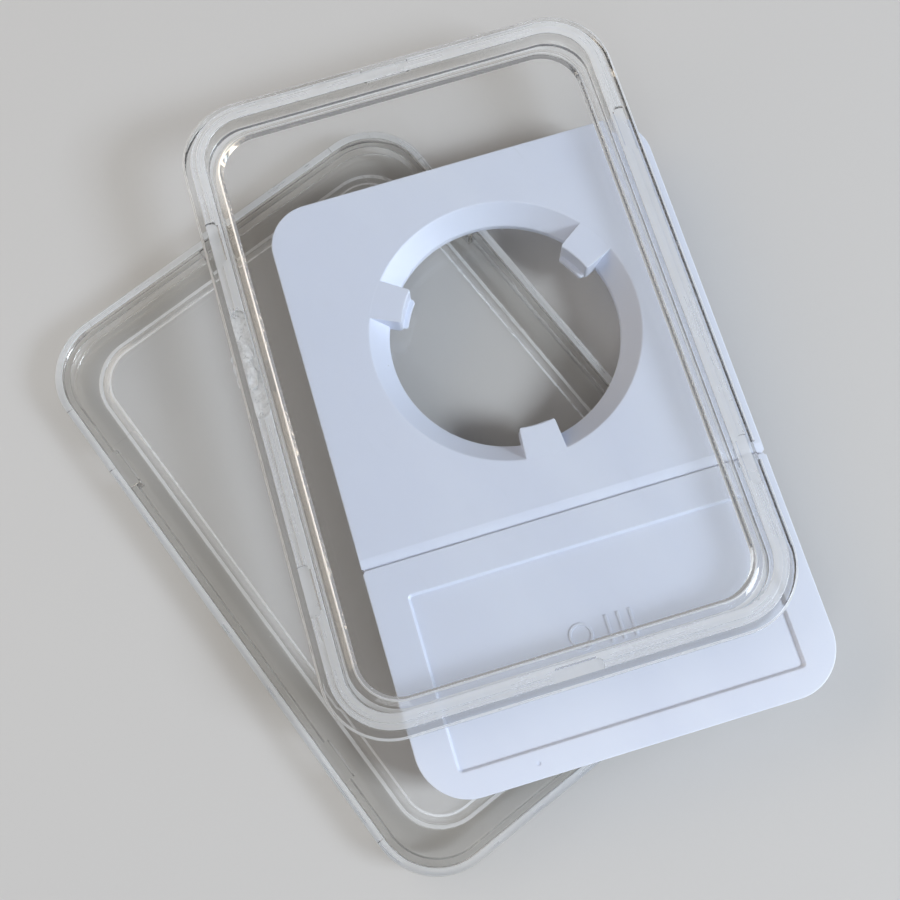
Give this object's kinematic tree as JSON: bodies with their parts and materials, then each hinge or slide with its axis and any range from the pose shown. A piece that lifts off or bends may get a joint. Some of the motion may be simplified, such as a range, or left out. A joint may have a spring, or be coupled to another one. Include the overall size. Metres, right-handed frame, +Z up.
{
  "type": "coin capsule",
  "caption": "Flat snap-together coin capsule laid open: clear back shell, white prong insert with a label recess, and clear front shell in a fanned stack.",
  "frame": {"origin": "middle of the whole stack's footprint, on the surface it lies on", "axes": "+Z up; +Y along the back shell's long axis, towards the end that the front shell covers; +X across the back shell, towards the side that the insert covers"},
  "size_m": [0.0856, 0.1048, 0.0126],
  "materials": {
    "clear_back": "clear injection-moulded polystyrene, polished, with a finely textured rim",
    "white_insert": "satin white moulded plastic",
    "clear_front": "clear injection-moulded polystyrene, polished, with a finely textured tongue"
  },
  "bodies": {
    "back_shell": {"back_shell": "clear_back"},
    "insert": {"insert": "white_insert"},
    "front_shell": {"front_shell": "clear_front"}
  },
  "joints": [
    {"name": "insert_lift", "type": "slide", "parent": "back_shell", "child": "insert", "axis": [0, 0, 1], "range_m": [0, 0.06]},
    {"name": "front_lift", "type": "slide", "parent": "insert", "child": "front_shell", "axis": [0, 0, 1], "range_m": [0, 0.06]}
  ]
}
